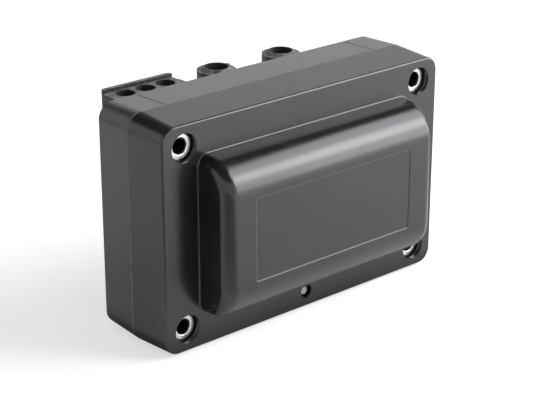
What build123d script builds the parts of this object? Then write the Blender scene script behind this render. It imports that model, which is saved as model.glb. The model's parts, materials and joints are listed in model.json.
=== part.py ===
from build123d import *
import os
from math import radians, tan

# Ignition transformer for a burner.
# A moulded case in two halves, held together by four rolled eyelets, with the
# electronics and the potted high-voltage coils inside. A deeper rear block goes
# through the panel and carries the terminals, which all point up.
# Millimetres. X is the width, Y the depth with the front facing -Y, and Z is up.
# The origin is the centre of the four fixing holes on the rear mounting plane.

# Case
body_width = 119.4            # at the parting line, the widest place
body_height = 78.0
front_shell_depth = 16.4      # front face to parting line
rear_frame_depth = 15.6       # parting line to mounting plane
front_draft = 3.3             # degrees, narrowing towards the front
rear_draft = 2.3              # degrees, narrowing towards the rear
corner_radius = 6.0
front_edge_radius = 0.7
wall = 2.6
seam_bevel = 0.25             # on the outer edge of the parting line
seam_gap = 0.35               # beside the tongue in the top wall

# Fixing holes and eyelets
fixing_inset_x = 9.5          # case side to the middle of a hole
fixing_inset_z = 8.5          # case top or bottom to the middle of a hole
eyelet_bore = 5.2
eyelet_wall = 0.5
eyelet_flange_diameter = 8.8
eyelet_flange_thickness = 0.7
eyelet_edge_radius = 0.45     # front flange, at its rim and where it rolls into the bore
eyelet_clearance = 0.1
counterbore_diameter = 9.6
counterbore_depth = 3.0
rear_recess_diameter = 9.2
boss_diameter = 13.0

# Dome on the front face
dome_fixing_gap = 5.0         # dome's end to the line of the fixing holes
dome_margin_z = 12.2          # case top or bottom to the dome's long edge
dome_rise = 14.0
dome_long_radius = 11.6       # top and bottom edges
dome_end_radius = 4.0         # left and right edges
dome_end_radius_inside = 2.7
dome_foot_radius = 0.5        # hollow round the dome where it meets the front face
dome_draft = 2.0              # degrees

# Blank label recess on the dome
label_width = 66.5
label_height = 28.0
label_depth = 0.3
label_corner_radius = 0.8
label_bevel_depth = 0.15
label_bevel_angle = 63.0      # degrees, between the bevel and the recess's side

# Tongue of the cover, which lies in a rebate of the rear frame's top wall
tongue_fixing_gap = 5.9       # tongue's end to the line of the fixing holes
tongue_thickness = 1.5

# Rear block, which goes through the panel round the coils
shelf_drop = 17.0             # case top to the shelf that carries the terminals
block_draft = 1.0             # degrees
block_corner_radius = 4.0
block_edge_radius = 1.5
rear_wall = 3.0
coil_side_room = 2.1          # right-hand coil to the block's side wall
spigot_core_gap = 2.5         # socket's foot to the top of the core
spigot_rear_room = 1.2        # socket's foot to the block's rear wall

# High-voltage sockets
socket_pitch = 28.6
socket_centre_x = 10.1        # middle of the pair
socket_y = 9.5
socket_diameter = 13.3
socket_height = 14.0          # above the shelf
socket_collar_height = 1.0
socket_collar_bevel = 1.1
socket_bore = 8.1
socket_spigot_diameter = 10.6
socket_spigot_length = 9.0
socket_lug_width = 4.0
socket_lug_reach = 0.9
socket_lug_angle = 30.0       # degrees, measured from +X towards +Y
contact_head_diameter = 6.0
contact_head_thickness = 1.2
contact_shank_diameter = 3.0
contact_tail = 3.0
lead_diameter = 1.8

# Mains inlet, which stands behind the case and plugs into its rear wall
inlet_fixing_gap = 1.7        # inlet's left end to the line of the fixing holes
inlet_width = 28.0
inlet_front_y = 4.6
inlet_depth = 9.8
inlet_height = 14.0           # above the shelf
inlet_corner_radius = 1.6
inlet_ridge_depth = 1.7
inlet_ridge_height = 1.2
inlet_step_width = 3.5
inlet_step_drop = 1.6
inlet_step_inset = 0.5        # step's front and rear behind the inlet's own
inlet_step_radius = 1.0
cavity_inset = 6.3            # inlet's left end to the middle of the first cavity
cavity_pitch = 8.1
cavity_diameter = 6.6
cavity_depth = 9.0
cavity_setback = 4.5          # inlet's front to the middle of the cavities
neck_inset_left = 3.6
neck_inset_right = 2.8
neck_rise = 1.0               # above the shelf
neck_height = 3.0
neck_corner_radius = 0.8
neck_reach = 1.5              # past the inside of the rear wall
blade_width = 4.2
blade_thickness = 0.8
blade_top_drop = 5.0          # below the cavity's mouth
blade_tail = 2.5              # past the neck
fit_gap = 0.1                 # between a moulded foot, neck or spigot and its hole

# Indicator
indicator_height = 6.3        # above the case's bottom
indicator_hole = 4.7
window_diameter = 6.6
window_thickness = 1.5
window_seat_wall = 1.2
window_nose_diameter = 3.2
window_nose_drop = 1.2        # below the front face
window_nose_radius = 0.5
lamp_diameter = 5.0
lamp_nose_radius = 2.2
lamp_flange_diameter = 5.8
lamp_flange_thickness = 1.0
lamp_gap = 0.3

# Circuit board, clamped between the bosses of the two halves
board_thickness = 1.6
board_edge_gap = 1.0
board_corner_radius = 3.0

# Parts on the front of the board
part_stand = 0.3              # between a part and the board
choke_outer_diameter = 17.0
choke_hole_diameter = 8.0
choke_thickness = 8.0
choke_edge_radius = 1.6
choke_rectifier_gap = 1.5
choke_z = 13.0
absorber_diameter = 9.0
absorber_thickness = 4.0
absorber_edge_radius = 1.2
absorber_choke_offset = 6.5   # absorber's middle to the left of the choke's middle
absorber_z = -6.0
fuse_diameter = 5.2
fuse_length = 20.0
fuse_storage_gap = 1.0
fuse_z = -20.0
fuse_cap_length = 5.0
fuse_cap_step = 0.2           # cap over the tube
fuse_clip_width = 3.0
fuse_stand = 1.2
film_width = 18.0
film_height = 8.5
film_depth = 15.0
film_corner_radius = 1.0
film_x = -5.0
film_top_room = 2.95          # under the dome's top wall
rectifier_width = 15.0
rectifier_height = 4.6
rectifier_depth = 11.0
rectifier_corner_radius = 0.8
rectifier_x = -13.0
rectifier_film_gap = 3.45
storage_diameter = 16.0
storage_length = 22.0
storage_edge_radius = 1.0
storage_x = -9.0
storage_z = -10.0
storage_groove_depth = 0.6
storage_groove_width = 1.0
storage_groove_height = 3.5   # foot of the can to the groove's lower side
sink_width = 34.0
sink_depth = 20.0
sink_base = 2.5
sink_fin_height = 9.0
sink_fin_count = 6
sink_fin_thickness = 1.4
sink_side_room = 2.6          # to the dome's right wall
sink_z = 2.0                  # top of the base
transistor_width = 10.2
transistor_height = 4.5
transistor_depth = 15.5
transistor_bevel = 0.5
transistor_stand = 3.0
transistor_leg_count = 3
transistor_leg_pitch = 2.54
transistor_leg_width = 1.0
transistor_leg_thickness = 0.5

# Ferrite core and coils, behind the board
core_leg = 11.0
core_depth = 11.0
core_yoke = 7.0
core_window = 17.0
core_corner_radius = 2.0
core_rest_gap = 0.15          # under the core, above the block's floor
core_y = 1.5
bobbin_wall = 0.9
bobbin_gap = 0.15             # round the core's leg
bobbin_depth = 24.0
bobbin_side_gap = 0.6         # between the two bobbins
bobbin_flange = 0.8
bobbin_corner_radius = 2.0
bobbin_tube_radius = 0.4
bobbin_foot_width = 22.0
primary_section = 4.0
high_voltage_section_count = 4
winding_recess = 0.8          # coil below the flange's rim
resin_board_gap = 1.0

# How far a cutting shape runs past the faces that it cuts
past = 1.0


def slope(degrees, length):
    """How far a face at this draft angle leans over a length."""
    return length * tan(radians(degrees))


# Places along the depth
parting_y = -rear_frame_depth
front_face_y = parting_y - front_shell_depth
inner_face_y = front_face_y + wall
dome_front_y = front_face_y - dome_rise
board_front_y = parting_y - board_thickness / 2
board_rear_y = parting_y + board_thickness / 2
part_foot_y = board_front_y - part_stand
counterbore_floor_y = front_face_y + counterbore_depth
block_rear_y = socket_y + socket_spigot_diameter / 2 + spigot_rear_room + rear_wall

# Fixing holes, and what keeps its distance from them
fixing_x = body_width / 2 - fixing_inset_x
fixing_z = body_height / 2 - fixing_inset_z
fixing_points = {
    "top_left": (-fixing_x, fixing_z),
    "top_right": (fixing_x, fixing_z),
    "bottom_left": (-fixing_x, -fixing_z),
    "bottom_right": (fixing_x, -fixing_z),
}
dome_width = 2 * (fixing_x - dome_fixing_gap)
dome_height = body_height - 2 * dome_margin_z
tongue_width = 2 * (fixing_x - tongue_fixing_gap)
inlet_left = inlet_fixing_gap - fixing_x
eyelet_tube_radius = eyelet_bore / 2 + eyelet_wall
eyelet_hole_radius = eyelet_tube_radius + eyelet_clearance

# Sockets, and below each of them its coil on a leg of the core
socket_points = {
    "left": socket_centre_x - socket_pitch / 2,
    "right": socket_centre_x + socket_pitch / 2,
}
shelf_z = body_height / 2 - shelf_drop
shelf_underside = shelf_z - rear_wall
spigot_foot_z = shelf_z - socket_spigot_length
pin_foot_z = spigot_foot_z - contact_tail
core_top_z = spigot_foot_z - spigot_core_gap
core_bottom_z = core_top_z - 2 * core_yoke - core_window
bobbin_width = socket_pitch - bobbin_side_gap

# The block closes round the coils. The core rests on its floor, at the hollow's narrow end.
block_half_width = socket_points["right"] + bobbin_width / 2 + coil_side_room + rear_wall
block_floor_lean = slope(block_draft, block_rear_y)
block_bottom_z = core_bottom_z - core_rest_gap - block_floor_lean - rear_wall
block_height = shelf_z - block_bottom_z
block_centre_z = (shelf_z + block_bottom_z) / 2

# Inlet: its top, its neck through the rear wall and the blades' legs in it
inlet_top_z = shelf_z + inlet_height
inlet_middle_y = inlet_front_y + inlet_depth / 2
neck_end_y = -rear_wall - neck_reach
leg_z = shelf_z + neck_rise + neck_height / 2
leg_end_y = neck_end_y - blade_tail

# Board, and the parts on it that keep their distance from their neighbour
board_width = body_width - 2 * wall - 2 * board_edge_gap
board_height = body_height - 2 * wall - 2 * board_edge_gap
rectifier_left = rectifier_x - rectifier_width / 2
choke_x = rectifier_left - choke_rectifier_gap - choke_outer_diameter / 2
absorber_x = choke_x - absorber_choke_offset
storage_left = storage_x - storage_diameter / 2
fuse_left = storage_left - fuse_storage_gap - fuse_length

# Indicator and the parts that keep their distance from the dome's walls
indicator_z = indicator_height - body_height / 2
window_rear_y = inner_face_y + window_thickness
film_z = dome_height / 2 - wall - film_top_room - film_height / 2
rectifier_z = film_z - film_height / 2 - rectifier_film_gap - rectifier_height / 2
sink_x = dome_width / 2 - wall - sink_side_room - sink_width / 2


def box_between(x_from, x_to, y_from, y_to, z_from, z_to):
    """Plain box between two corners."""
    size = (x_to - x_from, y_to - y_from, z_to - z_from)
    centre = ((x_from + x_to) / 2, (y_from + y_to) / 2, (z_from + z_to) / 2)
    return Pos(*centre) * Box(*size)


def drafted_block(width, height, radius, y_base, y_end, draft=0.0, x=0.0, z=0.0):
    """Rounded rectangle at y_base, carried to y_end and narrowed on the way by the draft."""
    way = 1 if y_end > y_base else -1
    plane = Plane(origin=(x, y_base, z), x_dir=(-way, 0, 0), z_dir=(0, way, 0))
    section = plane * RectangleRounded(width, height, radius)
    return extrude(section, abs(y_end - y_base), taper=draft)


def round_along_y(diameter, y_from, y_to, x=0.0, z=0.0):
    """Cylinder along the depth."""
    plane = Plane(origin=(x, y_from, z), x_dir=(1, 0, 0), z_dir=(0, 1, 0))
    return extrude(plane * Circle(diameter / 2), y_to - y_from)


def round_along_z(diameter, z_from, z_to, x=0.0, y=0.0):
    """Cylinder along the height."""
    plane = Plane(origin=(x, y, z_from))
    return extrude(plane * Circle(diameter / 2), z_to - z_from)


def rounded_column(width, depth, radius, z_from, z_to, x=0.0, y=0.0):
    """Rounded rectangle seen from above, carried straight up."""
    plane = Plane(origin=(x, y, z_from))
    return extrude(plane * RectangleRounded(width, depth, radius), z_to - z_from)


def at_fixings(diameter, y_from, y_to):
    """The same cylinder along the depth at each fixing hole, fused."""
    copies = [round_along_y(diameter, y_from, y_to, x, z) for x, z in fixing_points.values()]
    return copies[0] + copies[1:]


def case_form(inset, y_end, draft):
    """Half of the case, inset by a wall, from the parting line to y_end."""
    width = body_width - 2 * inset
    height = body_height - 2 * inset
    return drafted_block(width, height, corner_radius - inset, parting_y, y_end, draft)


def front_form(inset, y_front):
    """Front half of the case, narrowing towards the front."""
    return case_form(inset, y_front, front_draft)


def rear_form(inset, y_rear):
    """Rear half of the case, narrowing towards the rear."""
    return case_form(inset, y_rear, rear_draft)


def block_form(inset, y_rear):
    """Rear block, inset by a wall, from the inside of the case's rear wall."""
    return drafted_block(
        2 * (block_half_width - inset),
        block_height - 2 * inset,
        block_corner_radius - inset,
        -rear_wall,
        y_rear,
        block_draft,
        z=block_centre_z,
    )


def dome_form(inset, end_radius):
    """Dome: a section with large top and bottom radii along X, its ends drafted and rounded."""
    y_out = dome_front_y + inset
    lean_in = slope(dome_draft, wall)
    lean_out = slope(dome_draft, front_face_y - y_out)
    half_z = dome_height / 2 - inset
    half_x = dome_width / 2 - inset
    section = Plane.YZ * Polygon(
        (inner_face_y, -half_z - lean_in),
        (inner_face_y, half_z + lean_in),
        (y_out, half_z - lean_out),
        (y_out, -half_z + lean_out),
        align=None,
    )
    crown = section.vertices().sort_by(Axis.Y)[:2]
    section = fillet(crown, dome_long_radius - inset)
    form = extrude(section, half_x + lean_in, both=True)
    plan = Plane.XY * Polygon(
        (-half_x - lean_in, inner_face_y),
        (half_x + lean_in, inner_face_y),
        (half_x - lean_out, y_out),
        (-half_x + lean_out, y_out),
        align=None,
    )
    form = form & extrude(plan, dome_height, both=True)
    by_x = form.faces().sort_by(Axis.X)
    ends = by_x[0].edges().sort_by(Axis.Y)[:-1] + by_x[-1].edges().sort_by(Axis.Y)[:-1]
    return fillet(ends, end_radius)


def dome_foot(outside):
    """Edges where the dome meets the front face."""
    on_face = outside.edges().filter_by_position(Axis.Y, front_face_y, front_face_y)
    half_x = (dome_width / 2 + fixing_x) / 2
    half_z = (dome_height / 2 + fixing_z) / 2
    inner = on_face.filter_by_position(Axis.X, -half_x, half_x)
    return inner.filter_by_position(Axis.Z, -half_z, half_z)


def make_front_cover():
    """Front half with the dome, label recess, tongue, bosses and indicator well."""
    shell = front_form(0, front_face_y)
    face_loop = shell.faces().sort_by(Axis.Y)[0].edges()
    shell = fillet(face_loop, front_edge_radius)
    outside = shell + dome_form(0, dome_end_radius)
    outside = fillet(dome_foot(outside), dome_foot_radius)
    cover = outside - front_form(wall, inner_face_y) - dome_form(wall, dome_end_radius_inside)
    root_y = inner_face_y - wall / 2
    cover += at_fixings(boss_diameter, root_y, board_front_y) & shell
    seat_diameter = window_diameter + 2 * window_seat_wall
    cover += round_along_y(seat_diameter, root_y, window_rear_y, 0, indicator_z) & shell
    half = tongue_width / 2
    strip = rear_form(0, 0) - rear_form(tongue_thickness, past)
    cover += strip & box_between(-half, half, parting_y, 0, 0, body_height)

    cut_y = front_face_y - past
    cover -= at_fixings(2 * eyelet_hole_radius, cut_y, board_rear_y)
    cover -= at_fixings(counterbore_diameter, cut_y, counterbore_floor_y)
    cover -= round_along_y(indicator_hole, cut_y, board_front_y, 0, indicator_z)
    pocket_diameter = window_diameter + 2 * fit_gap
    cover -= round_along_y(pocket_diameter, inner_face_y, board_front_y, 0, indicator_z)
    label_floor_y = dome_front_y + label_depth
    cover -= drafted_block(
        label_width, label_height, label_corner_radius, dome_front_y - past, label_floor_y
    )
    cover -= drafted_block(
        label_width,
        label_height,
        label_corner_radius,
        dome_front_y + label_bevel_depth,
        dome_front_y - past,
        -label_bevel_angle,
    )
    return cover


def make_rear_frame():
    """Rear half with the rebate for the tongue, the rear block and the holes for the terminals."""
    outside = rear_form(0, 0)
    seam = outside.faces().sort_by(Axis.Y)[0].edges()
    outside = chamfer(seam, seam_bevel)
    block = block_form(0, block_rear_y)
    block = fillet(block.faces().sort_by(Axis.Y)[-1].edges(), block_edge_radius)
    frame = outside + block
    frame -= rear_form(wall, -rear_wall)
    frame -= block_form(rear_wall, block_rear_y - rear_wall)
    frame += at_fixings(boss_diameter, board_rear_y, -rear_wall / 2) & outside
    half = tongue_width / 2 + seam_gap
    rebate = rear_form(-past, past) - rear_form(tongue_thickness + fit_gap, past)
    frame -= rebate & box_between(-half, half, parting_y - past, past, 0, body_height)

    frame -= at_fixings(2 * eyelet_hole_radius, parting_y - past, past)
    frame -= at_fixings(rear_recess_diameter, -eyelet_flange_thickness, past)
    hole_diameter = socket_spigot_diameter + 2 * fit_gap
    for x in socket_points.values():
        frame -= round_along_z(
            hole_diameter, shelf_underside - past, shelf_z + past, x, socket_y
        )
    frame -= inlet_neck(fit_gap, -rear_wall - past, past)
    return frame


def make_eyelet(x, z):
    """Rolled eyelet: a tube with a rounded flange in the front counterbore and a rear rim."""
    bore = eyelet_bore / 2
    tube = eyelet_tube_radius
    rim = eyelet_flange_diameter / 2
    thick = eyelet_flange_thickness
    front_y = counterbore_floor_y - thick
    # Half section in the plane of the axis: first value outwards, second along the depth.
    section = Plane.XY * Polygon(
        (bore, front_y),
        (rim, front_y),
        (rim, counterbore_floor_y),
        (tube, counterbore_floor_y),
        (tube, -thick),
        (rim, -thick),
        (rim, 0),
        (bore, 0),
        align=None,
    )
    section = fillet(section.vertices().sort_by(Axis.Y)[:2], eyelet_edge_radius)
    return Pos(x, 0, z) * revolve(section, Axis.Y)


def inlet_neck(gap, y_from, y_to):
    """Neck of the mains inlet, which goes through the case's rear wall."""
    left = inlet_left + neck_inset_left - gap
    right = inlet_left + inlet_width - neck_inset_right + gap
    return drafted_block(
        right - left,
        neck_height + 2 * gap,
        neck_corner_radius,
        y_from,
        y_to,
        x=(left + right) / 2,
        z=leg_z,
    )


def cavity_places():
    """Middle of each cavity: X, and the common Y."""
    first = inlet_left + cavity_inset
    y = inlet_front_y + cavity_setback
    return [(first + i * cavity_pitch, y) for i in range(3)]


def blade_form(place, gap):
    """Flat blade standing in its cavity, with a leg forward through the neck."""
    x, y = place
    half_width = blade_width / 2 + gap
    half_thickness = blade_thickness / 2 + gap
    top = inlet_top_z - blade_top_drop
    upright = box_between(
        x - half_width, x + half_width, y - half_thickness, y + half_thickness, leg_z, top
    )
    leg = box_between(
        x - half_width,
        x + half_width,
        leg_end_y,
        y + half_thickness,
        leg_z - half_thickness,
        leg_z + half_thickness,
    )
    return upright + leg


def make_mains_inlet():
    """Terminal block with a rear ridge, a low step at its right end and three round cavities."""
    x = inlet_left + inlet_width / 2
    right = inlet_left + inlet_width
    ridge_top = inlet_top_z + inlet_ridge_height
    body = rounded_column(
        inlet_width, inlet_depth, inlet_corner_radius, shelf_z, ridge_top, x, inlet_middle_y
    )
    body -= box_between(
        inlet_left - past,
        right + past,
        inlet_front_y - past,
        inlet_front_y + inlet_depth - inlet_ridge_depth,
        inlet_top_z,
        ridge_top + past,
    )
    body += rounded_column(
        2 * inlet_step_width,
        inlet_depth - 2 * inlet_step_inset,
        inlet_step_radius,
        shelf_z,
        inlet_top_z - inlet_step_drop,
        right,
        inlet_middle_y,
    )
    body += inlet_neck(0, neck_end_y, inlet_middle_y)
    for place in cavity_places():
        floor = inlet_top_z - cavity_depth
        body -= round_along_z(cavity_diameter, floor, ridge_top + past, *place)
        body -= blade_form(place, fit_gap)
    return body


def make_blade(place):
    """Contact blade with a bevelled tip."""
    blade = blade_form(place, 0)
    tip = blade.faces().sort_by(Axis.Z)[-1].edges().filter_by(Axis.Y)
    return chamfer(tip, blade_thickness)


def make_mains_lead(place):
    """Short lead from the end of a blade's leg forward to the board."""
    x, _ = place
    return round_along_y(lead_diameter, board_rear_y, leg_end_y, x, leg_z)


def make_socket(x, with_lug):
    """High-voltage socket: a turned tube with a bevelled collar and a spigot through the shelf."""
    outer = socket_diameter / 2
    bore = socket_bore / 2
    spigot = socket_spigot_diameter / 2
    head = contact_head_diameter / 2
    shank = contact_shank_diameter / 2
    rim = shelf_z + socket_height
    top = rim + socket_collar_height
    head_seat = shelf_z - contact_head_thickness
    section = Plane.XZ * Polygon(
        (shank, spigot_foot_z),
        (spigot, spigot_foot_z),
        (spigot, shelf_z),
        (outer, shelf_z),
        (outer, rim),
        (outer - socket_collar_bevel, rim),
        (outer - 2 * socket_collar_bevel, top),
        (bore, top),
        (bore, shelf_z),
        (head, shelf_z),
        (head, head_seat),
        (shank, head_seat),
        align=None,
    )
    socket = revolve(section, Axis.Z)
    if with_lug:
        lug = box_between(
            outer - 2 * socket_collar_bevel,
            outer + socket_lug_reach,
            -socket_lug_width / 2,
            socket_lug_width / 2,
            shelf_z,
            rim,
        )
        socket += Rot(0, 0, socket_lug_angle) * lug
    return Pos(x, socket_y, 0) * socket


def make_contact(x):
    """Headed contact pin whose head lies flush with the socket's floor."""
    head_seat = shelf_z - contact_head_thickness
    pin = round_along_z(contact_head_diameter, head_seat, shelf_z, x, socket_y)
    pin += round_along_z(contact_shank_diameter, pin_foot_z, head_seat, x, socket_y)
    return pin


def make_window():
    """Milky window with a round-edged nose, which stands in the indicator well."""
    nose_y = front_face_y + window_nose_drop
    window = round_along_y(window_nose_diameter, nose_y, window_rear_y, 0, indicator_z)
    window = fillet(window.edges().sort_by(Axis.Y)[0], window_nose_radius)
    return window + round_along_y(window_diameter, inner_face_y, window_rear_y, 0, indicator_z)


def make_lamp():
    """Round-nosed indicator lamp, which stands on the board by its flange."""
    body = round_along_y(lamp_diameter, window_rear_y + lamp_gap, board_front_y, 0, indicator_z)
    body = fillet(body.edges().sort_by(Axis.Y)[0], lamp_nose_radius)
    flange_y = board_front_y - lamp_flange_thickness
    body += round_along_y(lamp_flange_diameter, flange_y, board_front_y, 0, indicator_z)
    return body


def make_board():
    """Board with a hole at each eyelet, clamped between the bosses."""
    board = drafted_block(
        board_width, board_height, board_corner_radius, board_front_y, board_rear_y
    )
    return board - at_fixings(2 * eyelet_hole_radius, board_front_y - past, board_rear_y + past)


def make_choke():
    """Ring core with its winding, lying flat on the board."""
    front_y = part_foot_y - choke_thickness
    ring = round_along_y(choke_outer_diameter, front_y, part_foot_y, choke_x, choke_z)
    ring -= round_along_y(
        choke_hole_diameter, front_y - past, part_foot_y + past, choke_x, choke_z
    )
    return fillet(ring.edges(), choke_edge_radius)


def make_absorber():
    """Surge absorber: a coated disc standing on the board."""
    y = part_foot_y - absorber_diameter / 2
    half = absorber_thickness / 2
    disc = round_along_z(absorber_diameter, absorber_z - half, absorber_z + half, absorber_x, y)
    return fillet(disc.edges(), absorber_edge_radius)


def make_fuse():
    """Tube fuse along X with an end cap at each end, held in two clips."""
    radius = fuse_diameter / 2
    y = board_front_y - fuse_stand - radius
    turned = Plane(origin=(fuse_left, y, fuse_z), x_dir=(0, 1, 0), z_dir=(1, 0, 0))
    fuse = extrude(turned * Circle(radius - fuse_cap_step), fuse_length)
    for cap_left in (fuse_left, fuse_left + fuse_length - fuse_cap_length):
        end = Plane(origin=(cap_left, y, fuse_z), x_dir=(0, 1, 0), z_dir=(1, 0, 0))
        fuse += extrude(end * Circle(radius), fuse_cap_length)
        clip_left = cap_left + (fuse_cap_length - fuse_clip_width) / 2
        fuse += box_between(
            clip_left,
            clip_left + fuse_clip_width,
            y,
            board_front_y,
            fuse_z - radius,
            fuse_z + radius,
        )
    return fuse


def board_box(width, height, depth, radius, x, z):
    """Box-shaped part standing on the front of the board, with rounded corners."""
    return drafted_block(width, height, radius, part_foot_y, part_foot_y - depth, 0.0, x, z)


def make_storage_capacitor():
    """Can with a rolled groove near its foot."""
    can = round_along_y(
        storage_diameter, part_foot_y - storage_length, part_foot_y, storage_x, storage_z
    )
    can = fillet(can.edges().sort_by(Axis.Y)[0], storage_edge_radius)
    low_y = part_foot_y - storage_groove_height
    high_y = low_y - storage_groove_width
    outer = storage_diameter + 2 * past
    inner = storage_diameter - 2 * storage_groove_depth
    groove = round_along_y(outer, high_y, low_y, storage_x, storage_z)
    groove -= round_along_y(inner, high_y - past, low_y + past, storage_x, storage_z)
    return can - groove


def make_heat_sink():
    """Extruded heat sink: a base with fins on its upper side."""
    front_y = board_front_y - sink_depth
    left = sink_x - sink_width / 2
    sink = box_between(
        left, left + sink_width, front_y, board_front_y, sink_z - sink_base, sink_z
    )
    pitch = (sink_width - sink_fin_thickness) / (sink_fin_count - 1)
    for i in range(sink_fin_count):
        fin = left + i * pitch
        fin_top = sink_z + sink_fin_height
        sink += box_between(
            fin, fin + sink_fin_thickness, front_y, board_front_y, sink_z, fin_top
        )
    return sink


def make_transistor():
    """Switching transistor under the heat sink's base, on three legs from the board."""
    top = sink_z - sink_base
    left = sink_x - transistor_width / 2
    foot_y = board_front_y - transistor_stand
    body = box_between(
        left,
        left + transistor_width,
        foot_y - transistor_depth,
        foot_y,
        top - transistor_height,
        top,
    )
    body = chamfer(body.faces().sort_by(Axis.Z)[0].edges(), transistor_bevel)
    leg_middle_z = top - transistor_height / 2
    first_leg = sink_x - (transistor_leg_count - 1) * transistor_leg_pitch / 2
    for i in range(transistor_leg_count):
        leg_x = first_leg + i * transistor_leg_pitch
        body += box_between(
            leg_x - transistor_leg_width / 2,
            leg_x + transistor_leg_width / 2,
            foot_y,
            board_front_y,
            leg_middle_z - transistor_leg_thickness / 2,
            leg_middle_z + transistor_leg_thickness / 2,
        )
    return body


def core_ring():
    """Both core halves as one ring round the window, with a leg under each socket."""
    half_width = (socket_pitch + core_leg) / 2
    window_half_width = (socket_pitch - core_leg) / 2
    front_y = core_y - core_depth / 2
    rear_y = core_y + core_depth / 2
    outer = box_between(
        socket_centre_x - half_width,
        socket_centre_x + half_width,
        front_y,
        rear_y,
        core_bottom_z,
        core_top_z,
    )
    outer = fillet(outer.edges().filter_by(Axis.Y), core_corner_radius)
    window = box_between(
        socket_centre_x - window_half_width,
        socket_centre_x + window_half_width,
        front_y - past,
        rear_y + past,
        core_bottom_z + core_yoke,
        core_top_z - core_yoke,
    )
    return outer - window


def make_core_half(upper):
    """U-shaped ferrite half; the two halves meet in the middle of the window."""
    middle = (core_bottom_z + core_top_z) / 2
    far = body_width
    z_from = middle if upper else middle - far
    side = box_between(-far, far, -far, far, z_from, z_from + far)
    return core_ring() & side


def coil_heights():
    """Bottom and top of each winding space on a bobbin: the primary first."""
    bottom = core_bottom_z + core_yoke + fit_gap
    length = core_window - 2 * fit_gap
    flange_count = high_voltage_section_count + 2
    rest = length - primary_section - flange_count * bobbin_flange
    section = rest / high_voltage_section_count
    spaces = []
    z = bottom + bobbin_flange
    for height in [primary_section] + [section] * high_voltage_section_count:
        spaces.append((z, z + height))
        z += height + bobbin_flange
    return spaces


def bobbin_span():
    """Bottom and top of a bobbin."""
    spaces = coil_heights()
    return spaces[0][0] - bobbin_flange, spaces[-1][1] + bobbin_flange


def bobbin_envelope(x, shrink, z_from, z_to):
    """Outline of a bobbin's flanges seen from above, shrunk for the coils."""
    width = bobbin_width - 2 * shrink
    depth = bobbin_depth - 2 * shrink
    return rounded_column(width, depth, bobbin_corner_radius, z_from, z_to, x, core_y)


def bobbin_tube(x, growth, z_from, z_to):
    """Square tube round a core leg, from the leg's own size outwards by the growth."""
    width = core_leg + 2 * growth
    depth = core_depth + 2 * growth
    return rounded_column(width, depth, bobbin_tube_radius, z_from, z_to, x, core_y)


def bobbin_foot(x):
    """Foot of a bobbin, from its lowest flange forward to the board."""
    bottom, _ = bobbin_span()
    half = bobbin_foot_width / 2
    flange_y = core_y - bobbin_depth / 2 + bobbin_corner_radius
    return box_between(
        x - half, x + half, board_rear_y, flange_y, bottom, bottom + bobbin_flange
    )


def make_bobbin(x):
    """Sectioned coil former: a square tube with flanges and a foot to the board."""
    bottom, top = bobbin_span()
    former = bobbin_tube(x, bobbin_gap + bobbin_wall, bottom, top)
    for z in [bottom] + [space_top for _, space_top in coil_heights()]:
        former += bobbin_envelope(x, 0, z, z + bobbin_flange)
    former += bobbin_foot(x)
    return former - bobbin_tube(x, bobbin_gap, bottom - past, top + past)


def make_coil(x, space):
    """Ring of wire between two flanges."""
    hole = bobbin_tube(x, bobbin_gap + bobbin_wall, *space)
    return bobbin_envelope(x, winding_recess, *space) - hole


def make_high_voltage_lead(x):
    """Straight lead from the top flange of a bobbin up to the contact pin."""
    _, bottom = bobbin_span()
    return round_along_z(lead_diameter, bottom, pin_foot_z, x, socket_y)


def make_resin():
    """Resin in the rear half up to just behind the board, round all that dips into it."""
    level = board_rear_y + resin_board_gap
    far = body_width
    resin = rear_form(wall, -rear_wall) + block_form(rear_wall, block_rear_y - rear_wall)
    resin -= box_between(-far, far, -far, level, -far, far)
    resin -= at_fixings(boss_diameter, level - past, past)
    resin -= core_ring()
    for x in socket_points.values():
        resin -= bobbin_envelope(x, 0, *bobbin_span())
        resin -= bobbin_foot(x)
        resin -= round_along_z(socket_spigot_diameter, spigot_foot_z, shelf_z, x, socket_y)
        resin -= round_along_z(contact_shank_diameter, pin_foot_z, shelf_z, x, socket_y)
        resin -= make_high_voltage_lead(x)
    resin -= inlet_neck(0, neck_end_y, 0)
    for place in cavity_places():
        resin -= blade_form(place, 0)
        resin -= make_mains_lead(place)
    return resin


def make_terminal_pieces():
    """The blades and leads of the mains inlet, and what hangs under each socket."""
    pieces = {}
    for name, place in zip(("live", "earth", "neutral"), cavity_places()):
        pieces[f"blade_{name}"] = make_blade(place)
        pieces[f"lead_{name}"] = make_mains_lead(place)
    primary_space, *high_voltage_spaces = coil_heights()
    for side, x in socket_points.items():
        pieces[f"socket_{side}"] = make_socket(x, side == "left")
        pieces[f"contact_pin_{side}"] = make_contact(x)
        pieces[f"high_voltage_lead_{side}"] = make_high_voltage_lead(x)
        pieces[f"bobbin_{side}"] = make_bobbin(x)
        pieces[f"primary_coil_{side}"] = make_coil(x, primary_space)
        rings = [make_coil(x, space) for space in high_voltage_spaces]
        pieces[f"high_voltage_coil_{side}"] = Compound(children=rings)
    return pieces


def make_board_pieces():
    """The board and all that stands on its front."""
    return {
        "circuit_board": make_board(),
        "indicator_lamp": make_lamp(),
        "line_choke": make_choke(),
        "surge_absorber": make_absorber(),
        "fuse": make_fuse(),
        "film_capacitor": board_box(
            film_width, film_height, film_depth, film_corner_radius, film_x, film_z
        ),
        "rectifier": board_box(
            rectifier_width,
            rectifier_height,
            rectifier_depth,
            rectifier_corner_radius,
            rectifier_x,
            rectifier_z,
        ),
        "storage_capacitor": make_storage_capacitor(),
        "heat_sink": make_heat_sink(),
        "switching_transistor": make_transistor(),
    }


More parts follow.
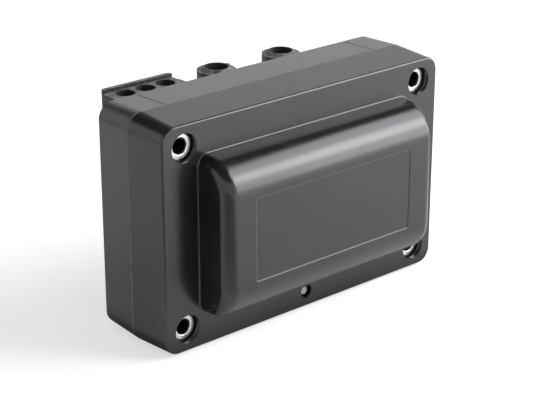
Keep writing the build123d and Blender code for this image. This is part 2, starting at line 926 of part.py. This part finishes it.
def main():
    os.makedirs("parts", exist_ok=True)
    pieces = {
        "front_cover": make_front_cover(),
        "rear_frame": make_rear_frame(),
        "mains_inlet": make_mains_inlet(),
        "indicator_window": make_window(),
        "core_lower": make_core_half(False),
        "core_upper": make_core_half(True),
        "potting_resin": make_resin(),
    }
    for name, (x, z) in fixing_points.items():
        pieces[f"eyelet_{name}"] = make_eyelet(x, z)
    pieces.update(make_terminal_pieces())
    pieces.update(make_board_pieces())
    for name, solid in pieces.items():
        export_step(solid, f"parts/{name}.step")


main()
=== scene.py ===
import json
import math

import bpy
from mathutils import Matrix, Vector


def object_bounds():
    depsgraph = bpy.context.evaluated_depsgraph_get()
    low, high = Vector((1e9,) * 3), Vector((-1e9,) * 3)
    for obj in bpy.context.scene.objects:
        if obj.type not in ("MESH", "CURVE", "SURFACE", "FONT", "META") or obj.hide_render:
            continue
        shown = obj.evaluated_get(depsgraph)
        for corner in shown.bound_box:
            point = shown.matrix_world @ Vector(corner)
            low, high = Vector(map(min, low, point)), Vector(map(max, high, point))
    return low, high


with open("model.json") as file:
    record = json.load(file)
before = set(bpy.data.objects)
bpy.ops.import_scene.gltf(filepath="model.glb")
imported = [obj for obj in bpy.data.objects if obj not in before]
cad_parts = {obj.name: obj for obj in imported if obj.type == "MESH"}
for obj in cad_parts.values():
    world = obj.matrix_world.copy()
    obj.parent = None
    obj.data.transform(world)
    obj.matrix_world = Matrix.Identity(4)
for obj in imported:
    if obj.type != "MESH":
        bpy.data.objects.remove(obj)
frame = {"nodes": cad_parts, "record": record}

cad_low, cad_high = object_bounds()
nodes = frame["nodes"]

# Lengths are in metres, in the shared frame, angles in degrees and powers in watts.
# Where a look changes over a range, the pair holds the start and the end of the step.

# Camera: focal length in pixels of the photograph, and the place and direction that fit
# the edges in it
FRAME_WIDTH_PX = 534
FOCAL_PX = 1645.7
SENSOR_WIDTH_MM = 36.0
CAMERA_PLACE = (-0.3342, -0.4026, 0.2043)
CAMERA_AZIMUTH = 40.53
CAMERA_PITCH = 22.235
CAMERA_CLIP_START = 0.01

# Studio: to the front right a softbox before a larger panel, all round a white sweep
# that ends in a dark ceiling, and below a white floor
SOFTBOX_PLACE = (0.76, -0.71, 0.575)
SOFTBOX_SIZE = (0.44, 0.40)
SOFTBOX_POWER = 2.4
SOFTBOX_COLOUR = (1.0, 1.0, 0.98)
PANEL_PLACE = (0.965, -0.676, 0.55)
PANEL_SIZE = (1.16, 1.5)
PANEL_POWER = 25.0
PANEL_COLOUR = (0.94, 0.965, 1.0)
WHITE = (1.0, 1.0, 1.0)
SWEEP_STRENGTH = 1.0
CEILING_STRENGTH = 0.08
CEILING_ELEVATIONS = (31.0, 34.5)
AMBIENT_STRENGTH = 0.25
FLOOR_SIZE = 6.0
FLOOR_GAP = 0.0002
FLOOR_TINT = 0.8
FLOOR_ROUGHNESS = 0.9

# Level of the floor's own glow that the camera sees, and the distances from the object
# between which it rises, so that no horizon shows
SEEN_LEVELS = (0.6, 1.0)
SEEN_RANGE = (0.2, 1.2)

# What mirrored rays see on the floor: a glow that is brighter and bluer towards the lights,
# a painted pool of light, darker right beside the case's foot, a painted contact shadow,
# and darker in two patches of painted shade, as if dark flags stood there
GLOW_LEVELS = (0.41, 1.0)
GLOW_RANGE = (-0.05, 0.43)
GLOW_TINT = (0.9, 0.935, 1.0)
FOOT_X = (-0.0597, 0.0597)
FOOT_Y = (-0.032, 0.0)
# Widths beside the foot over which the painted contact shadow fades out
PAINTED_SHADOW_WIDTHS = (0.011, 0.021)
# Distances from the foot over which the painted shade patches set in
PAINTED_SHADE_REACH = (0.03, 0.09)
# Two patches of painted shade in the floor's reflections, each with its direction, the cosines
# over which it sets in and the share of the glow it takes
PAINTED_SHADE_PATCHES = (
    {"direction": (-0.65, -0.76), "cosines": (0.75, 0.96), "takes": 0.5},
    {"direction": (0.985, 0.17), "cosines": (0.95, 0.985), "takes": 0.9},
)

# Places on the object where a material changes, places where highlights and shade are painted,
# and how strong the painted highlight along the seam is
PARTING_Y = -0.0156
# Width of the painted highlight along the parting line, and its strength where noise breaks it
# up
SEAM_LINE = (0.00012, 0.0003)
SEAM_HIGHLIGHT_LEVELS = (0.45, 1.0)
FIXING_X = 0.0502
FIXING_Z = 0.0305
# Radius and depth of the eyelets' bores, where shade is painted
BORE_RADIUS = (0.0026, 0.0028)
BORE_DEPTH = (-0.0297, -0.0285)
# Rim of the label recess, where a highlight is painted
LABEL_HALF_X = 0.03325
LABEL_HALF_Z = 0.0140
LABEL_LINE = (0.0001, 0.0003)
LABEL_DEPTH = (-0.045, -0.044)
# Slope and cover of the dust on upward faces, where painted light also makes the tops lighter
DUST_AND_LIGHT_SLOPE = (0.3, 0.8)
DUST_AND_LIGHT_COVER = (0.25, 1.0)
FUSE_X = -0.0280
FUSE_CAPS = (0.0049, 0.0050)
SLEEVE_X = -0.0090
STRIPE_LINE = (0.0019, 0.0021)
STRIPE_HEIGHT = (-0.0061, -0.0059)
CHOKE_X = -0.0305
CHOKE_Z = 0.0130
CHOKE_TURNS = 30
COIL_WIRE_PITCH = 0.0004
TRACK_CELLS = 120.0
TRACK_RINGS = 6.0
TRACK_EDGE = (0.55, 0.65)

# Noises: the part of their range over which a look changes, their features per metre
# where no look gives them, and their octaves
CLOUD_RANGE = (0.3, 0.7)
SEAM_BREAK_RANGE = (0.3, 0.5)
DUST_AND_LIGHT_RANGE = (0.35, 0.6)
SEAM_BREAK_SPOTS = 350.0
DUST_AND_LIGHT_SPOTS = 500.0
CLOUD_DETAIL = 4.0
PATCH_DETAIL = 3.0
RELIEF_DETAIL = 2.0
NO_STRETCH = (1.0, 1.0, 1.0)

USUAL_IOR = 1.5
COPPER_TINTS = ((0.5, 0.17, 0.07), (0.7, 0.28, 0.12))
# Dark tint in the grooves between the wire's turns: painted shade
COPPER_GROOVE_SHADE = (0.12, 0.03, 0.01)


def feed(tree, socket, value):
    """Link a socket to another socket, or set it to a number or a colour."""
    if isinstance(value, bpy.types.NodeSocket):
        tree.links.new(value, socket)
    elif isinstance(value, tuple):
        socket.default_value = (*value, 1.0)
    else:
        socket.default_value = value


def new_material(name):
    """New material with its node tree and its Principled shader."""
    material = bpy.data.materials.new(name)
    material.use_nodes = True
    tree = material.node_tree
    return material, tree, tree.nodes["Principled BSDF"]


def calc(tree, operation, first, second=0.0):
    """Math on two values, each a socket or a number."""
    node = tree.nodes.new("ShaderNodeMath")
    node.operation = operation
    for socket, value in zip(node.inputs, (first, second)):
        feed(tree, socket, value)
    return node.outputs[0]


def ramp(tree, value, places, levels=(0.0, 1.0)):
    """Smooth step between two levels while a value goes from one place to the other."""
    step = tree.nodes.new("ShaderNodeMapRange")
    step.interpolation_type = "SMOOTHSTEP"
    for name, number in zip(("From Min", "From Max", "To Min", "To Max"), (*places, *levels)):
        step.inputs[name].default_value = number
    feed(tree, step.inputs["Value"], value)
    return step.outputs["Result"]


def fade(tree, value, places):
    """Smooth step from 1 down to 0."""
    return ramp(tree, value, places, (1.0, 0.0))


def mixed(tree, factor, first, second, kind):
    """Mix of two colours or two values, each a socket or plain; kind is RGBA or FLOAT."""
    mix = tree.nodes.new("ShaderNodeMix")
    mix.data_type = kind
    for name, value in (("A", first), ("B", second), ("Factor", factor)):
        feed(tree, mix.inputs[name], value)
    return mix.outputs["Result"]


def axes_of(tree, output):
    """X, Y and Z of one of the texture coordinates."""
    place = tree.nodes.new("ShaderNodeTexCoord")
    split = tree.nodes.new("ShaderNodeSeparateXYZ")
    feed(tree, split.inputs[0], place.outputs[output])
    return split.outputs["X"], split.outputs["Y"], split.outputs["Z"]


def distance(tree, value, middle):
    """How far a value lies from a middle."""
    return calc(tree, "ABSOLUTE", calc(tree, "SUBTRACT", value, middle))


def flat_length(tree, first, second):
    """Length of a flat vector."""
    squares = [calc(tree, "MULTIPLY", side, side) for side in (first, second)]
    return calc(tree, "SQRT", calc(tree, "ADD", *squares))


def noise(tree, scale, detail, stretch=NO_STRETCH):
    """Noise in object coordinates, with its features per metre and their stretch."""
    place = tree.nodes.new("ShaderNodeTexCoord")
    mapping = tree.nodes.new("ShaderNodeMapping")
    mapping.inputs["Scale"].default_value = stretch
    texture = tree.nodes.new("ShaderNodeTexNoise")
    texture.inputs["Scale"].default_value = scale
    texture.inputs["Detail"].default_value = detail
    feed(tree, mapping.inputs["Vector"], place.outputs["Object"])
    feed(tree, texture.inputs["Vector"], mapping.outputs["Vector"])
    return texture.outputs["Fac"]


def bump(tree, height, depth, under=None):
    """Bump of a depth, on top of another bump if one is given."""
    node = tree.nodes.new("ShaderNodeBump")
    node.inputs["Distance"].default_value = depth
    feed(tree, node.inputs["Height"], height)
    if under is not None:
        feed(tree, node.inputs["Normal"], under)
    return node.outputs["Normal"]


def make_material(name, tints, clouds, rough, patches, grain, swell, **options):
    """Material with cloudy tint, patchy gloss, a fine grain and a slow swell.

    tints and rough are pairs, clouds and patches features per metre, and grain and swell
    each features per metre with a depth. The options are metallic, ior and stretch,
    rows for wires or tracks (pattern, depth, tint of the groove, which on wires is painted
    shade between the turns), and marks, each a mask with its tint and roughness.
    """
    material, tree, shader = new_material(name)
    stretch = options.get("stretch", NO_STRETCH)
    shader.inputs["Metallic"].default_value = options.get("metallic", 0.0)
    shader.inputs["IOR"].default_value = options.get("ior", USUAL_IOR)
    cloudy = ramp(tree, noise(tree, clouds, CLOUD_DETAIL, stretch), CLOUD_RANGE)
    colour = mixed(tree, cloudy, *tints, "RGBA")
    gloss = ramp(tree, noise(tree, patches, PATCH_DETAIL, stretch), CLOUD_RANGE, rough)
    normal = bump(tree, noise(tree, swell[0], RELIEF_DETAIL), swell[1])
    normal = bump(tree, noise(tree, grain[0], RELIEF_DETAIL, stretch), grain[1], normal)
    if "rows" in options:
        pattern, depth, groove = options["rows"]
        rows = pattern(tree)
        colour = mixed(tree, rows, groove, colour, "RGBA")
        normal = bump(tree, rows, depth, normal)
    for mask, tint, roughness in options.get("marks", ()):
        where = mask(tree)
        colour = mixed(tree, where, colour, tint, "RGBA")
        gloss = mixed(tree, where, gloss, roughness, "FLOAT")
    feed(tree, shader.inputs["Base Color"], colour)
    feed(tree, shader.inputs["Roughness"], gloss)
    feed(tree, shader.inputs["Normal"], normal)
    return material


def seam_painted_highlight(tree):
    """1 along the parting line, where a highlight is painted, broken up along its length."""
    _, y, _ = axes_of(tree, "Object")
    line = fade(tree, distance(tree, y, PARTING_Y), SEAM_LINE)
    highlight_breaks = ramp(tree, noise(tree, SEAM_BREAK_SPOTS, PATCH_DETAIL), SEAM_BREAK_RANGE, SEAM_HIGHLIGHT_LEVELS)
    return calc(tree, "MULTIPLY", line, highlight_breaks)


def eyelet_bore_painted_shade(tree):
    """1 inside an eyelet's tube, where shade is painted dull and dark."""
    x, y, z = axes_of(tree, "Object")
    across = calc(tree, "SUBTRACT", calc(tree, "ABSOLUTE", x), FIXING_X)
    up = calc(tree, "SUBTRACT", calc(tree, "ABSOLUTE", z), FIXING_Z)
    inside = fade(tree, flat_length(tree, across, up), BORE_RADIUS)
    return calc(tree, "MULTIPLY", inside, ramp(tree, y, BORE_DEPTH))


def label_rim_painted_highlight(tree):
    """1 on the rim of the label recess, where a highlight is painted."""
    x, y, z = axes_of(tree, "Object")
    across = calc(tree, "SUBTRACT", calc(tree, "ABSOLUTE", x), LABEL_HALF_X)
    up = calc(tree, "SUBTRACT", calc(tree, "ABSOLUTE", z), LABEL_HALF_Z)
    off = calc(tree, "ABSOLUTE", calc(tree, "MAXIMUM", across, up))
    return calc(tree, "MULTIPLY", fade(tree, off, LABEL_LINE), fade(tree, y, LABEL_DEPTH))


def dust_and_top_light(tree):
    """1 in patches on surfaces that face up, where dust has settled and where painted light
    makes the tops lighter.
    """
    _, _, up = axes_of(tree, "Normal")
    cover = ramp(tree, noise(tree, DUST_AND_LIGHT_SPOTS, PATCH_DETAIL), DUST_AND_LIGHT_RANGE, DUST_AND_LIGHT_COVER)
    return calc(tree, "MULTIPLY", ramp(tree, up, DUST_AND_LIGHT_SLOPE), cover)


def on_fuse_caps(tree):
    """1 on the end caps and clips of the fuse."""
    x, _, _ = axes_of(tree, "Object")
    return ramp(tree, distance(tree, x, FUSE_X), FUSE_CAPS)


def on_sleeve_stripe(tree):
    """1 on the stripe along the top of the storage capacitor's sleeve."""
    x, _, z = axes_of(tree, "Object")
    line = fade(tree, distance(tree, x, SLEEVE_X), STRIPE_LINE)
    return calc(tree, "MULTIPLY", line, ramp(tree, z, STRIPE_HEIGHT))


def coil_turns(tree):
    """Turns of wire stacked up along Z."""
    _, _, z = axes_of(tree, "Object")
    phase = calc(tree, "MULTIPLY", z, math.pi / COIL_WIRE_PITCH)
    return calc(tree, "ABSOLUTE", calc(tree, "SINE", phase))


def choke_turns(tree):
    """Turns of wire round the choke's ring."""
    x, _, z = axes_of(tree, "Object")
    across = calc(tree, "SUBTRACT", x, CHOKE_X)
    up = calc(tree, "SUBTRACT", z, CHOKE_Z)
    phase = calc(tree, "MULTIPLY", calc(tree, "ARCTAN2", up, across), CHOKE_TURNS / 2)
    return calc(tree, "ABSOLUTE", calc(tree, "SINE", phase))


def board_tracks(tree):
    """Copper tracks under the board's mask, as rings round scattered pads."""
    place = tree.nodes.new("ShaderNodeTexCoord")
    cells = tree.nodes.new("ShaderNodeTexVoronoi")
    cells.distance = "MANHATTAN"
    cells.inputs["Scale"].default_value = TRACK_CELLS
    feed(tree, cells.inputs["Vector"], place.outputs["Object"])
    rings = calc(tree, "MULTIPLY", cells.outputs["Distance"], TRACK_RINGS)
    return ramp(tree, calc(tree, "PINGPONG", rings, 1.0), TRACK_EDGE)


# One look for each material slot of the record, and one for the choke's wire, which
# lies another way than the coils'
LOOKS = {
    "case_plastic": dict(
        name="case_black",
        tints=((0.01, 0.01, 0.0106), (0.0145, 0.0145, 0.0152)), clouds=70.0,
        rough=(0.215, 0.245), patches=120.0,
        grain=(2600.0, 0.000003), swell=(45.0, 0.00003), ior=1.6,
        marks=(
            # Painted highlight along the parting line
            (seam_painted_highlight, (0.27, 0.27, 0.28), 0.6),
            # Painted highlight on the label recess's rim
            (label_rim_painted_highlight, (0.07, 0.07, 0.075), 0.4),
        ),
    ),
    "terminal_plastic": dict(
        name="terminal_black",
        tints=((0.012, 0.012, 0.012), (0.048, 0.047, 0.046)), clouds=650.0,
        rough=(0.42, 0.62), patches=500.0,
        grain=(1500.0, 0.00014), swell=(160.0, 0.0003),
        # Dust on upward faces, with painted light that makes the tops lighter
        marks=((dust_and_top_light, (0.27, 0.262, 0.255), 0.7),),
    ),
    "eyelet_metal": dict(
        name="nickel_plate",
        tints=((0.78, 0.77, 0.75), (0.92, 0.91, 0.89)), clouds=500.0,
        rough=(0.26, 0.42), patches=900.0,
        grain=(2400.0, 0.00002), swell=(300.0, 0.00004), metallic=1.0,
        # Painted shade inside the eyelets' bores
        marks=((eyelet_bore_painted_shade, (0.03, 0.028, 0.026), 0.7),),
    ),
    "contact_brass": dict(
        name="contact_brass",
        tints=((0.55, 0.4, 0.16), (0.75, 0.58, 0.28)), clouds=700.0,
        rough=(0.25, 0.4), patches=1500.0,
        grain=(3000.0, 0.00002), swell=(300.0, 0.00003), metallic=1.0,
    ),
    "window_plastic": dict(
        name="milky_plastic",
        tints=((0.5, 0.5, 0.49), (0.62, 0.62, 0.61)), clouds=900.0,
        rough=(0.3, 0.42), patches=1200.0,
        grain=(1800.0, 0.00002), swell=(400.0, 0.00003),
    ),
    "lamp_plastic": dict(
        name="lamp_diffuser",
        tints=((0.42, 0.5, 0.42), (0.6, 0.66, 0.6)), clouds=500.0,
        rough=(0.2, 0.3), patches=900.0,
        grain=(1800.0, 0.00001), swell=(300.0, 0.00002),
    ),
    "board_laminate": dict(
        name="board_mask",
        tints=((0.012, 0.075, 0.025), (0.02, 0.11, 0.04)), clouds=300.0,
        rough=(0.3, 0.42), patches=600.0,
        grain=(2500.0, 0.00002), swell=(200.0, 0.00002),
        rows=(board_tracks, 0.00005, (0.01, 0.05, 0.018)),
    ),
    "ferrite": dict(
        name="ferrite",
        tints=((0.035, 0.035, 0.038), (0.075, 0.075, 0.08)), clouds=1400.0,
        rough=(0.45, 0.65), patches=900.0,
        grain=(2600.0, 0.00005), swell=(300.0, 0.00005),
    ),
    "former_plastic": dict(
        name="former_plastic",
        tints=((0.6, 0.57, 0.5), (0.72, 0.69, 0.62)), clouds=150.0,
        rough=(0.4, 0.5), patches=500.0,
        grain=(2200.0, 0.00002), swell=(200.0, 0.00004),
    ),
    "copper_wire": dict(
        name="copper_wire",
        tints=COPPER_TINTS, clouds=800.0,
        rough=(0.25, 0.38), patches=900.0,
        grain=(2600.0, 0.00002), swell=(300.0, 0.00003), metallic=1.0,
        rows=(coil_turns, 0.00012, COPPER_GROOVE_SHADE),
    ),
    "choke_wire": dict(
        name="choke_wire",
        tints=COPPER_TINTS, clouds=800.0,
        rough=(0.25, 0.38), patches=900.0,
        grain=(2600.0, 0.00002), swell=(300.0, 0.00003), metallic=1.0,
        rows=(choke_turns, 0.0003, COPPER_GROOVE_SHADE),
    ),
    "lead_insulation": dict(
        name="lead_insulation",
        tints=((0.32, 0.03, 0.015), (0.45, 0.06, 0.03)), clouds=400.0,
        rough=(0.4, 0.55), patches=800.0,
        grain=(2400.0, 0.00002), swell=(250.0, 0.00004),
    ),
    "resin": dict(
        name="potting_resin",
        tints=((0.022, 0.018, 0.014), (0.04, 0.033, 0.026)), clouds=90.0,
        rough=(0.12, 0.28), patches=200.0,
        grain=(1200.0, 0.00001), swell=(60.0, 0.0003),
    ),
    "aluminium_sink": dict(
        name="sink_aluminium",
        tints=((0.62, 0.63, 0.64), (0.78, 0.79, 0.8)), clouds=1200.0,
        rough=(0.28, 0.42), patches=1600.0,
        grain=(2600.0, 0.00003), swell=(250.0, 0.00003), metallic=1.0,
        stretch=(1.0, 0.06, 1.0),
    ),
    "component_black": dict(
        name="component_black",
        tints=((0.018, 0.018, 0.019), (0.04, 0.04, 0.042)), clouds=1500.0,
        rough=(0.45, 0.6), patches=900.0,
        grain=(3000.0, 0.00004), swell=(300.0, 0.00003),
    ),
    "component_sleeve": dict(
        name="component_sleeve",
        tints=((0.015, 0.022, 0.075), (0.025, 0.035, 0.1)), clouds=200.0,
        rough=(0.22, 0.34), patches=500.0,
        grain=(2200.0, 0.00001), swell=(120.0, 0.0001),
        marks=((on_sleeve_stripe, (0.5, 0.52, 0.55), 0.35),),
    ),
    "component_box": dict(
        name="component_box",
        tints=((0.5, 0.3, 0.04), (0.62, 0.4, 0.06)), clouds=300.0,
        rough=(0.25, 0.36), patches=700.0,
        grain=(2200.0, 0.00002), swell=(200.0, 0.00004),
    ),
    "absorber_coat": dict(
        name="absorber_coat",
        tints=((0.03, 0.1, 0.3), (0.06, 0.16, 0.42)), clouds=500.0,
        rough=(0.18, 0.3), patches=700.0,
        grain=(1400.0, 0.00003), swell=(250.0, 0.0002),
    ),
    "fuse_body": dict(
        name="fuse_ceramic",
        tints=((0.7, 0.68, 0.62), (0.8, 0.78, 0.73)), clouds=500.0,
        rough=(0.25, 0.4), patches=800.0,
        grain=(2400.0, 0.00003), swell=(300.0, 0.00003),
        marks=((on_fuse_caps, (0.45, 0.44, 0.42), 0.3),),
    ),
}


def dress_nodes():
    """Give each CAD node the material of its slot."""
    materials = {slot: make_material(**look) for slot, look in LOOKS.items()}
    for row in frame["record"]["subparts"]:
        slot = "choke_wire" if row["node"] == "line_choke" else row["material_slot"]
        mesh = nodes[row["node"]].data
        mesh.materials.clear()
        mesh.materials.append(materials[slot])


def area_light(name, place, size, power, colour):
    """Rectangular soft light aimed at the origin."""
    lamp = bpy.data.lights.new(name, "AREA")
    lamp.shape = "RECTANGLE"
    lamp.size, lamp.size_y = size
    lamp.energy = power
    lamp.color = colour
    holder = bpy.data.objects.new(name, lamp)
    bpy.context.scene.collection.objects.link(holder)
    holder.location = place
    holder.rotation_euler = (-Vector(place)).to_track_quat("-Z", "Y").to_euler()


def mirrored_ray(tree):
    """1 for glossy and transmission rays, 0 for the rest."""
    path = tree.nodes.new("ShaderNodeLightPath")
    rays = (path.outputs["Is Glossy Ray"], path.outputs["Is Transmission Ray"])
    return calc(tree, "MAXIMUM", *rays)


def camera_ray(tree):
    """1 for camera rays, 0 for the rest."""
    return tree.nodes.new("ShaderNodeLightPath").outputs["Is Camera Ray"]


def make_world():
    """White to the camera; mirrored rays see the sweep end in the dark ceiling."""
    world = bpy.data.worlds.new("studio")
    bpy.context.scene.world = world
    world.use_nodes = True
    tree = world.node_tree
    background = tree.nodes["Background"]
    background.inputs["Color"].default_value = (*WHITE, 1.0)
    _, _, up = axes_of(tree, "Generated")
    sines = [math.sin(math.radians(degrees)) for degrees in CEILING_ELEVATIONS]
    sweep = ramp(tree, up, sines, (SWEEP_STRENGTH, CEILING_STRENGTH))
    mirrored = calc(tree, "MULTIPLY", mirrored_ray(tree), sweep)
    seen = calc(tree, "MULTIPLY", camera_ray(tree), SWEEP_STRENGTH)
    either = calc(tree, "MAXIMUM", mirrored_ray(tree), camera_ray(tree))
    ambient = calc(tree, "MULTIPLY", calc(tree, "SUBTRACT", 1.0, either), AMBIENT_STRENGTH)
    strength = calc(tree, "ADD", calc(tree, "ADD", mirrored, seen), ambient)
    feed(tree, background.inputs["Strength"], strength)


def beyond(tree, value, span):
    """How far a value lies outside a span, or 0 inside it."""
    low, high = span
    off = distance(tree, value, (low + high) / 2)
    return calc(tree, "MAXIMUM", calc(tree, "SUBTRACT", off, (high - low) / 2), 0.0)


def floor_levels(tree, x, y):
    """Painted light level towards the lights, share left by the painted contact shadow, and
    share left by the painted shade patches.
    """
    # Painted contact shadow: the glow fades out right beside the case's foot
    beside = (beyond(tree, x, FOOT_X), beyond(tree, y, FOOT_Y))
    near = [calc(tree, "DIVIDE", off, width) for off, width in zip(beside, PAINTED_SHADOW_WIDTHS)]
    painted_contact_shadow = ramp(tree, flat_length(tree, *near), (0.0, 1.0))
    away = flat_length(tree, *beside)
    # Each patch of painted shade takes its share of the glow
    left_by_painted_shade = 1.0
    for shade_patch in PAINTED_SHADE_PATCHES:
        parts = [calc(tree, "MULTIPLY", *pair) for pair in zip((x, y), shade_patch["direction"])]
        cosine = calc(tree, "DIVIDE", calc(tree, "ADD", *parts), flat_length(tree, x, y))
        reached = ramp(tree, away, PAINTED_SHADE_REACH, (0.0, shade_patch["takes"]))
        taken = calc(tree, "MULTIPLY", ramp(tree, cosine, shade_patch["cosines"]), reached)
        left_by_painted_shade = calc(tree, "SUBTRACT", left_by_painted_shade, taken)
    # Painted pool of light: the glow rises towards the lights
    level = ramp(tree, calc(tree, "SUBTRACT", x, y), GLOW_RANGE, GLOW_LEVELS)
    return level, painted_contact_shadow, left_by_painted_shade


def dress_floor():
    """Floor material: white to the camera, with the glow, its painted pool of light, painted
    contact shadow and painted shade patches for mirrored rays.
    """
    material, tree, shader = new_material("floor_white")
    shader.inputs["Roughness"].default_value = FLOOR_ROUGHNESS
    shader.inputs["Specular IOR Level"].default_value = 0.0
    x, y, _ = axes_of(tree, "Object")
    level, painted_contact_shadow, left_by_painted_shade = floor_levels(tree, x, y)
    # Painted bluish light towards the lights, in the reflections only
    bluish = calc(tree, "MULTIPLY", mirrored_ray(tree), ramp(tree, level, GLOW_LEVELS))
    colour = mixed(tree, bluish, WHITE, GLOW_TINT, "RGBA")
    # Glow for mirrored rays, with the painted contact shadow and the painted shade patches
    glow = calc(tree, "MULTIPLY", calc(tree, "MULTIPLY", level, painted_contact_shadow), left_by_painted_shade)
    mirrored = calc(tree, "MULTIPLY", mirrored_ray(tree), glow)
    far = ramp(tree, flat_length(tree, x, y), SEEN_RANGE, SEEN_LEVELS)
    seen = calc(tree, "MULTIPLY", camera_ray(tree), far)
    direct = calc(tree, "SUBTRACT", 1.0, mirrored_ray(tree))
    # The painted shade patches also darken the floor's colour for mirrored rays
    tint = calc(tree, "MULTIPLY", calc(tree, "MAXIMUM", direct, left_by_painted_shade), FLOOR_TINT)
    feed(tree, shader.inputs["Emission Color"], colour)
    feed(tree, shader.inputs["Emission Strength"], calc(tree, "ADD", mirrored, seen))
    feed(tree, shader.inputs["Base Color"], tint)
    return material


def make_floor():
    """Floor just under the object, which keeps the object's shadow."""
    half = FLOOR_SIZE / 2
    z = cad_low.z - FLOOR_GAP
    mesh = bpy.data.meshes.new("floor")
    corners = [(-half, -half, z), (half, -half, z), (half, half, z), (-half, half, z)]
    mesh.from_pydata(corners, [], [(0, 1, 2, 3)])
    mesh.materials.append(dress_floor())
    floor = bpy.data.objects.new("floor", mesh)
    bpy.context.scene.collection.objects.link(floor)


def make_camera():
    """Camera at the photograph's viewing angle."""
    camera = bpy.data.cameras.new("camera")
    camera.sensor_width = SENSOR_WIDTH_MM
    camera.lens = FOCAL_PX / FRAME_WIDTH_PX * SENSOR_WIDTH_MM
    camera.clip_start = CAMERA_CLIP_START
    holder = bpy.data.objects.new("camera", camera)
    bpy.context.scene.collection.objects.link(holder)
    holder.location = CAMERA_PLACE
    tilt = math.radians(90.0 - CAMERA_PITCH)
    holder.rotation_euler = (tilt, 0.0, math.radians(-CAMERA_AZIMUTH))
    bpy.context.scene.camera = holder


dress_nodes()
area_light("softbox", SOFTBOX_PLACE, SOFTBOX_SIZE, SOFTBOX_POWER, SOFTBOX_COLOUR)
area_light("panel", PANEL_PLACE, PANEL_SIZE, PANEL_POWER, PANEL_COLOUR)
make_world()
make_floor()
make_camera()
bpy.context.scene.view_settings.view_transform = "Standard"
